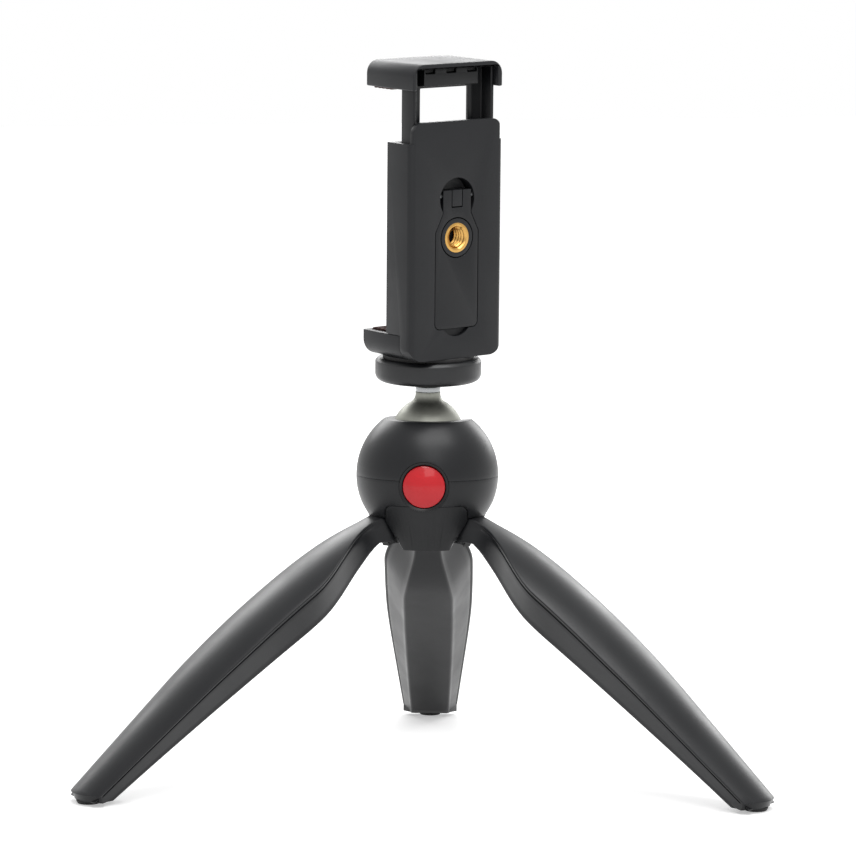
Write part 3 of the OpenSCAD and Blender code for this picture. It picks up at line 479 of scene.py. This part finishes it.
# How finely the legs are drawn: points on each section, and stations down the leg
CROWN_POINTS = 24
CROWN_STEPS = [2 * i / CROWN_POINTS - 1 for i in range(CROWN_POINTS + 1)]
FLANK_POINTS = 6
ROUND_POINTS = 4
EYE_DEGREES = range(0, 66, 8)
EYE_STATIONS = [-EYE_RADIUS * math.cos(math.radians(degrees)) for degrees in EYE_DEGREES]
NEAR_STEP = 2.2
NEAR_COUNT = 30
NEAR_STATIONS = [EYE_END + NEAR_STEP * i for i in range(NEAR_COUNT)]
FAR_START = 66
FAR_STEP = 4
FAR_COUNT = 20
FAR_STATIONS = [FAR_START + FAR_STEP * i for i in range(FAR_COUNT)]
LEVEL_STEPS = 12
SEAM_MERGE = 0.001
SHELL_ROUND = 0.36
BEAM_ROUND = 0.15
LEG_ANGLE = math.radians(40)


def share(x):
    """x, kept between 0 and 1."""
    return max(0.0, min(1.0, x))


def eased(x):
    """From 0 to 1 with a soft start and a soft end."""
    t = share(x)
    return t * t * (3 - 2 * t)


def crown_radius(w):
    """Reach of the crown from the closed grip's axis, at a distance below the hinge."""
    if w > CROWN_CONE:
        reach = CROWN_CONE - CROWN_PEAK
        slope = reach / math.sqrt(CROWN_FAR ** 2 - reach ** 2)
        return crown_radius(CROWN_CONE) - (w - CROWN_CONE) * slope
    arc = CROWN_NEAR if w < CROWN_PEAK else CROWN_FAR
    return GRIP_RADIUS - arc + math.sqrt(arc ** 2 - (w - CROWN_PEAK) ** 2)


def flank_half(u):
    """Half width between the sloping flanks, which widen outwards."""
    return FLANK_BASE + FLANK_SLOPE * u


def flank_top(w):
    """How far out the sloping flank meets the crown."""
    radius = crown_radius(w) + CROWN_BACK
    a = 1 + FLANK_SLOPE ** 2
    b = FLANK_SLOPE * FLANK_BASE + CROWN_BACK
    c = CROWN_BACK ** 2 + FLANK_BASE ** 2 - radius ** 2
    return (math.sqrt(b ** 2 - a * c) - b) / a


def ridge_half(w):
    """Half width at the ridge: the neck's plan and the flanks, run into one another without a corner."""
    along = share((w - NECK_END) / (HIP_END - NECK_END))
    plan = NECK_HALF + (HIP_HALF - NECK_HALF) * eased(along ** PLAN_POWER)
    flank = flank_half(flank_top(w))
    mix = share(0.5 + (flank - plan) / (2 * PLAN_BLEND))
    return flank + (plan - flank) * mix - PLAN_BLEND * mix * (1 - mix)


def ridge_u(w):
    """How far out the ridge lies, where the crown ends."""
    return math.sqrt((crown_radius(w) + CROWN_BACK) ** 2 - ridge_half(w) ** 2) - CROWN_BACK


def crown_point(w, k, inset=0.0):
    """A point on the crown, with k from -1 to 1 between its two ridges."""
    radius = crown_radius(w) + CROWN_BACK - inset
    turn = math.atan2(ridge_half(w), ridge_u(w) + CROWN_BACK) * k
    return radius * math.cos(turn) - CROWN_BACK, radius * math.sin(turn)


def eye_half(w):
    """How far the hinge's eye reaches to either side of the hinge."""
    return math.sqrt(max(0.0, EYE_RADIUS ** 2 - w ** 2))


def keel_u(w):
    """The leg's inner side: round the hinge's eye, a bend below the neck, then a long shallow arc."""
    if w < KEEL_BEND:
        keel = KEEL_NECK + (KEEL_HIP - KEEL_NECK) * eased(w / KEEL_BEND)
    else:
        keel = KEEL_HIP - (w - KEEL_BEND) ** 2 / (2 * KEEL_ARC)
    eye = HINGE_U - eye_half(min(w, EYE_LOW))
    return eye + (keel - eye) * eased((w - EYE_LOW) / EYE_RUN)


def keel_half(w):
    """Half width of the flat keel, which narrows into the neck."""
    return NECK_HALF + (flank_half(keel_u(w)) - NECK_HALF) * eased((w - KEEL_WIDENS) / KEEL_WIDE_RUN)


def shell_section(w):
    """The crown from ridge to ridge, and a short way down both flanks."""
    half = ridge_half(w)
    up = ridge_u(w)
    lean = (half - keel_half(w)) / max(LEAST_FLANK, up - keel_u(w))
    rim_half = half - max(LEAST_LEAN, lean * SHELL_DROP)
    rim = up - SHELL_DROP
    return [(rim, -rim_half)] + [crown_point(w, k) for k in CROWN_STEPS] + [(rim, rim_half)]


def beam_section(w):
    """A groove below the shell's rim, both flanks down to the keel's round corners, and the flat keel."""
    half = ridge_half(w)
    up = ridge_u(w)
    low = keel_u(w)
    low_half = keel_half(w)
    opened = share((w - NECK_CLOSED) / NECK_OPENS)
    depth = GROOVE_DEPTH * opened
    inset = BEAM_INSET * opened

    def side(u):
        return half + (low_half - half) * share((up - u) / max(LEAST_SIDE, up - low))

    top = HINGE_U + eye_half(w) if w < EYE_END else up - SHELL_DROP + BEAM_COVER
    seat = top - EYE_SEAT
    if w > EYE_END:
        groove = GROOVE_AT_HIP + (GROOVE_AT_FOOT - GROOVE_AT_HIP) * eased((w - GROOVE_EASES) / GROOVE_RUN)
        seat = up - min(SHELL_DROP + groove, SEAT_SHARE * (up - low))
    bend = min(KEEL_ROUND * opened, BEND_SHARE * (top - low)) + LEAST_BEND
    bend_top = low + bend
    bend_half = side(bend_top) - inset
    points = [(top, side(top) - depth), (seat + GROOVE_LIP, side(seat) - depth)]
    for i in range(FLANK_POINTS + 1):
        u = seat + (bend_top - seat) * i / FLANK_POINTS
        points.append((u, side(u) - inset))
    for i in range(1, ROUND_POINTS + 1):
        turn = math.radians(90 * i / ROUND_POINTS)
        points.append((low + bend * (1 - math.sin(turn)), bend_half - bend * (1 - math.cos(turn))))
    return points + [(u, -v) for u, v in reversed(points)]


def opened_x(u, w):
    """How far from the tripod's axis a point of the closed grip lies once the leg is open."""
    return HINGE_U + (u - HINGE_U) * math.cos(LEG_OPEN) + w * math.sin(LEG_OPEN)


def level_w(point, level):
    """How far down the leg a point of its section comes to a level above the table, once the leg is open."""
    w = LEG_LENGTH
    for _ in range(LEVEL_STEPS):
        u = point(w)[0]
        w = (HINGE_Z + (u - HINGE_U) * math.sin(LEG_OPEN) - level) / math.cos(LEG_OPEN)
    return w


def keel_corner(w):
    """The sole's corner below the keel."""
    return keel_u(w) + SOLE_INSET, keel_half(w) - SOLE_INSET


def sole_ring(depth):
    """Outline of the leg's end below the shell, seen from above: upright at the crown, raked at the keel."""
    level = -depth
    corner_w = level_w(keel_corner, level)
    corner_u, corner_half = keel_corner(corner_w)
    corner_x = opened_x(corner_u, corner_w)
    crown = []
    for k in CROWN_STEPS:
        w = level_w(lambda down: crown_point(down, k, SOLE_INSET), SHELL_END)
        u, v = crown_point(w, k, SOLE_INSET)
        crown.append((opened_x(u, w) - SOLE_TAPER * (SHELL_END - level), v))
    return [(corner_x, -corner_half)] + crown + [(corner_x, corner_half)]


def lofted(section, stations):
    """A grid rolled into a tube through the sections, merged along its seam and closed at both ends."""
    around = len(section(stations[0]))
    along = len(stations) - 1
    bpy.ops.mesh.primitive_grid_add(x_subdivisions=along, y_subdivisions=around, size=1)
    piece = bpy.context.active_object
    for vertex in piece.data.vertices:
        w = stations[round((vertex.co.x + 0.5) * along)]
        u, v = section(w)[round((vertex.co.y + 0.5) * around) % around]
        vertex.co = Vector((u, v, -w)) * MM
    bpy.ops.object.mode_set(mode="EDIT")
    bpy.ops.mesh.select_all(action="SELECT")
    bpy.ops.mesh.remove_doubles(threshold=SEAM_MERGE * MM)
    bpy.ops.mesh.fill_holes(sides=0)
    bpy.ops.mesh.select_all(action="SELECT")
    bpy.ops.mesh.normals_make_consistent(inside=False)
    bpy.ops.object.mode_set(mode="OBJECT")
    return piece


def trim(piece, place, normal):
    """Cuts away all that lies on the normal's side of a plane, and closes the cut."""
    select_only(piece)
    bpy.ops.object.mode_set(mode="EDIT")
    bpy.ops.mesh.select_all(action="SELECT")
    bpy.ops.mesh.bisect(plane_co=Vector(place) * MM, plane_no=normal, use_fill=True, clear_outer=True)
    bpy.ops.object.mode_set(mode="OBJECT")


def open_leg(piece):
    """Turns a piece of the closed grip about the hinge until the leg is open."""
    piece.data.transform(Matrix.Translation(HINGE) @ Matrix.Rotation(-LEG_OPEN, 4, "Y")
                         @ Matrix.Translation((-HINGE.x, 0, 0)))
    piece.data.update()


def drill_pin(beam):
    """Drills the hinge pin's bore through the eye."""
    bpy.ops.mesh.primitive_cylinder_add(vertices=PIN_SIDES, radius=PIN_BORE * MM, depth=PIN_DRILL * MM,
                                        location=HINGE, rotation=(math.pi / 2, 0, 0))
    drill = bpy.context.active_object
    bpy.ops.object.transform_apply(location=True, rotation=True, scale=True)
    add_modifier(beam, "BOOLEAN", {"operation": "DIFFERENCE", "solver": "EXACT", "object": drill})
    bpy.data.objects.remove(drill)


def leg_pieces():
    """One leg's shell and beam, open, pointing along X."""
    shell = lofted(shell_section, NEAR_STATIONS + FAR_STATIONS)
    beam = lofted(beam_section, EYE_STATIONS + NEAR_STATIONS + FAR_STATIONS)
    for piece, end in ((shell, SHELL_END), (beam, BEAM_END)):
        open_leg(piece)
        trim(piece, (0, 0, SLOT_TOP), (0, 0, 1))
        trim(piece, (0, 0, end), (0, 0, -1))
    trim(beam, (BEAM_REACH, 0, 0), (1, 0, 0))
    sole = lofted(sole_ring, [-SOLE_TOP, -SHELL_END, -BEAM_END])
    drill_pin(beam)
    select_only(beam, sole)
    bpy.ops.object.join()
    round_edges(shell, SHELL_ROUND, LEG_ANGLE)
    round_edges(beam, BEAM_ROUND, LEG_ANGLE)
    return shell, beam


def build_legs():
    """Three copies of the leg's shell and beam, each turned to its own hinge."""
    shell, beam = leg_pieces()
    for index, fold in enumerate(FOLDS, 1):
        turn = math.atan2(-fold["axis"][0], fold["axis"][1])
        for model, node in ((shell, "leg_shell_%d" % index), (beam, "leg_%d" % index)):
            select_only(model)
            bpy.ops.object.duplicate(linked=False)
            piece = bpy.context.active_object
            piece.data.transform(Matrix.Rotation(turn, 4, "Z"))
            piece.data.update()
            give_finish(piece, node + "_moulded", "leg_plastic")
            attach(piece, fold["child"])
            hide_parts(node)
    bpy.data.objects.remove(shell)
    bpy.data.objects.remove(beam)


build_legs()


# The rear insert's real thread: a quarter-inch screw thread, twenty turns to the inch

PITCH = 1.27
THREAD_TURNS = 6
THREAD_STEPS = 64
THREAD_CUTS = 7
THREAD_ROOT = 3.19
THREAD_HEIGHT = 0.56
THREAD_CREST = 1.25
THREAD_FLANK = 3.2
INSERT_LENGTH = 5.6
INSERT_RADIUS = 4.6
INSERT_ROUND = 0.12
INSERT_SEGMENTS = 2
INSERT_EDGE = math.radians(40)
INSERT_SMOOTH = math.radians(30)
THREAD_FROM = 0.55
THREAD_TO = INSERT_LENGTH - 0.45
BORE_RADIUS = 3.2
MOUTH_WIDE = 3.75
MOUTH_NARROW = 2.95
MOUTH_DEPTH = 0.8
MOUTH_PLACE = 0.35
TURNED_SIDES = 96


def threaded_insert():
    """Brass insert with its thread, drawn upright with its mouth at the origin, then laid in its seat."""
    middle = (0, 0, INSERT_LENGTH / 2 * MM)
    bpy.ops.mesh.primitive_cylinder_add(vertices=TURNED_SIDES, radius=INSERT_RADIUS * MM,
                                        depth=INSERT_LENGTH * MM, location=middle)
    insert = bpy.context.active_object
    bpy.ops.object.transform_apply(location=True, rotation=True, scale=True)
    bpy.ops.mesh.primitive_cylinder_add(vertices=TURNED_SIDES, radius=BORE_RADIUS * MM,
                                        depth=2 * INSERT_LENGTH * MM, location=middle)
    drill = bpy.context.active_object
    bpy.ops.mesh.primitive_cone_add(vertices=TURNED_SIDES, radius1=MOUTH_WIDE * MM,
                                    radius2=MOUTH_NARROW * MM, depth=MOUTH_DEPTH * MM,
                                    location=(0, 0, MOUTH_PLACE * MM))
    mouth = bpy.context.active_object
    for tool in (drill, mouth):
        select_only(tool)
        bpy.ops.object.transform_apply(location=True, rotation=True, scale=True)
        add_modifier(insert, "BOOLEAN", {"operation": "DIFFERENCE", "solver": "EXACT", "object": tool})
        bpy.data.objects.remove(tool)
    add_modifier(insert, "BEVEL", {"width": INSERT_ROUND * MM, "segments": INSERT_SEGMENTS,
                                   "limit_method": "ANGLE", "angle_limit": INSERT_EDGE})
    select_only(insert, helical_thread())
    bpy.ops.object.join()
    insert.data.transform(REAR_THREAD)
    insert.data.update()
    bpy.ops.object.shade_smooth_by_angle(angle=INSERT_SMOOTH)
    give_finish(insert, "rear_insert_threaded", "insert_brass")
    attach(insert, "phone_clamp")
    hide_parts("rear_insert")


def helical_thread():
    """One pitch of the thread's outline, wound up along the bore and trimmed at both ends."""
    middle = BORE_RADIUS * MM
    bpy.ops.mesh.primitive_plane_add(size=PITCH * MM, location=(middle, 0, -PITCH * MM),
                                     rotation=(math.pi / 2, 0, 0))
    thread = bpy.context.active_object
    bpy.ops.object.transform_apply(location=True, rotation=True, scale=True)
    bpy.ops.object.mode_set(mode="EDIT")
    bpy.ops.mesh.select_all(action="SELECT")
    bpy.ops.mesh.delete(type="ONLY_FACE")
    bpy.ops.object.mode_set(mode="OBJECT")
    for edge in thread.data.edges:
        edge.select = all(thread.data.vertices[i].co.x > middle for i in edge.vertices)
    for vertex in thread.data.vertices:
        vertex.select = vertex.co.x > middle
    bpy.ops.object.mode_set(mode="EDIT")
    bpy.ops.mesh.select_all(action="INVERT")
    bpy.ops.mesh.delete(type="VERT")
    bpy.ops.mesh.select_all(action="SELECT")
    bpy.ops.mesh.subdivide(number_cuts=THREAD_CUTS)
    bpy.ops.object.mode_set(mode="OBJECT")
    start = min(vertex.co.z for vertex in thread.data.vertices)
    for vertex in thread.data.vertices:
        along = (vertex.co.z - start) / (PITCH * MM)
        crest = share(THREAD_CREST - abs(along - 0.5) * THREAD_FLANK)
        vertex.co.x = (THREAD_ROOT - THREAD_HEIGHT * crest) * MM
    add_modifier(thread, "SCREW", {
        "axis": "Z", "angle": 2 * math.pi, "screw_offset": PITCH * MM, "iterations": THREAD_TURNS,
        "steps": THREAD_STEPS, "render_steps": THREAD_STEPS, "use_merge_vertices": True,
        "use_normal_calculate": True})
    for level, below in ((THREAD_FROM, True), (THREAD_TO, False)):
        select_only(thread)
        bpy.ops.object.mode_set(mode="EDIT")
        bpy.ops.mesh.select_all(action="SELECT")
        bpy.ops.mesh.bisect(plane_co=(0, 0, level * MM), plane_no=(0, 0, 1), clear_inner=below,
                            clear_outer=not below)
        bpy.ops.object.mode_set(mode="OBJECT")
    return thread


threaded_insert()


# Springs: smooth-shaded copies of their CAD nodes, fixed where the frame has them


def spring_between(node):
    """Stands for a spring's CAD node, with its coils between the joint's two bodies."""
    piece = copy_of_node(node)
    bpy.ops.object.shade_smooth()
    give_finish(piece, node + "_wound", SLOTS[node])
    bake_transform(piece)
    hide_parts(node)


spring_between("pull_springs")
spring_between("button_spring")


# Studio: a pale floor and world, and soft lamps

FLOOR_SIZE = 12.0
FLOOR_Z = -0.00005
# The floor's own glow grows from the object outwards, so that its far end meets the white world
FLOOR_GLOW = 0.42
FAR_GLOW = 0.8
GLOW_FROM = 0.25
GLOW_TO = 1.0
WORLD_LIGHT = 0.4
WORLD_SEEN = 1.0
WHITE = (1, 1, 1, 1)
LAMP_AIM = Vector((0, 0, 0.1))
# Each lamp's place and size in metres, and its power in watts
LAMPS = {
    "back_softbox": ((0.33, 1.0, 0.75), (1.1, 0.55), 8.5),
    "right_softbox": ((1.08, 0.42, 0.45), (0.5, 0.5), 3.0),
    "top_softbox": ((-0.09, -0.37, 1.0), (0.8, 0.5), 7.0),
    "front_softbox": ((-0.5, -1.0, 0.9), (0.6, 0.6), 2.2),
}


def seen_ray(tree):
    """One for rays that show the surroundings: straight, mirrored or through glass."""
    rays = add_node(tree, "ShaderNodeLightPath").outputs
    mirrored = add_node(tree, "ShaderNodeMath", {"operation": "MAXIMUM"},
                        {0: rays["Is Glossy Ray"], 1: rays["Is Transmission Ray"]})
    seen = add_node(tree, "ShaderNodeMath", {"operation": "MAXIMUM"},
                    {0: rays["Is Camera Ray"], 1: mirrored.outputs["Value"]})
    return seen.outputs["Value"]


def paper():
    """Matt white paper: it takes soft shadows, and glows a little where it is seen."""
    material, tree, shader, places = new_material("matt white paper", "#ececec", {"Roughness": 0.9})
    reach = add_node(tree, "ShaderNodeVectorMath", {"operation": "LENGTH"}, {0: places})
    sweep = add_node(tree, "ShaderNodeMapRange",
                     {"From Min": GLOW_FROM, "From Max": GLOW_TO, "To Min": FLOOR_GLOW, "To Max": FAR_GLOW},
                     {"Value": reach.outputs["Value"]})
    lift = add_node(tree, "ShaderNodeMath", {"operation": "MULTIPLY"},
                    {0: seen_ray(tree), 1: sweep.outputs["Result"]})
    glow = add_node(tree, "ShaderNodeEmission", {"Color": WHITE}, {"Strength": lift.outputs["Value"]})
    both = add_node(tree, "ShaderNodeAddShader", {},
                    {0: shader.outputs["BSDF"], 1: glow.outputs["Emission"]})
    link_inputs(tree, tree.nodes["Material Output"], {"Surface": both.outputs["Shader"]})
    return material


def lay_floor():
    bpy.ops.mesh.primitive_plane_add(size=FLOOR_SIZE, location=(0, 0, FLOOR_Z))
    floor = bpy.context.active_object
    floor.name = "studio_floor"
    floor.data.materials.append(paper())


def light_world():
    world = bpy.data.worlds.new("pale studio")
    world.use_nodes = True
    bpy.context.scene.world = world
    background = world.node_tree.nodes["Background"]
    background.inputs["Color"].default_value = WHITE
    level = add_node(world.node_tree, "ShaderNodeMapRange", {"To Min": WORLD_LIGHT, "To Max": WORLD_SEEN},
                     {"Value": seen_ray(world.node_tree)})
    link_inputs(world.node_tree, background, {"Strength": level.outputs["Result"]})


def hang_lamps():
    for name, (place, size, power) in LAMPS.items():
        bpy.ops.object.light_add(type="AREA", location=place)
        lamp = bpy.context.active_object
        lamp.name = name
        lamp.data.shape = "RECTANGLE"
        lamp.data.size = size[0]
        lamp.data.size_y = size[1]
        lamp.data.energy = power
        lamp.rotation_euler = (LAMP_AIM - Vector(place)).to_track_quat("-Z", "Y").to_euler()


lay_floor()
light_world()
hang_lamps()
bpy.context.scene.view_settings.view_transform = "Standard"
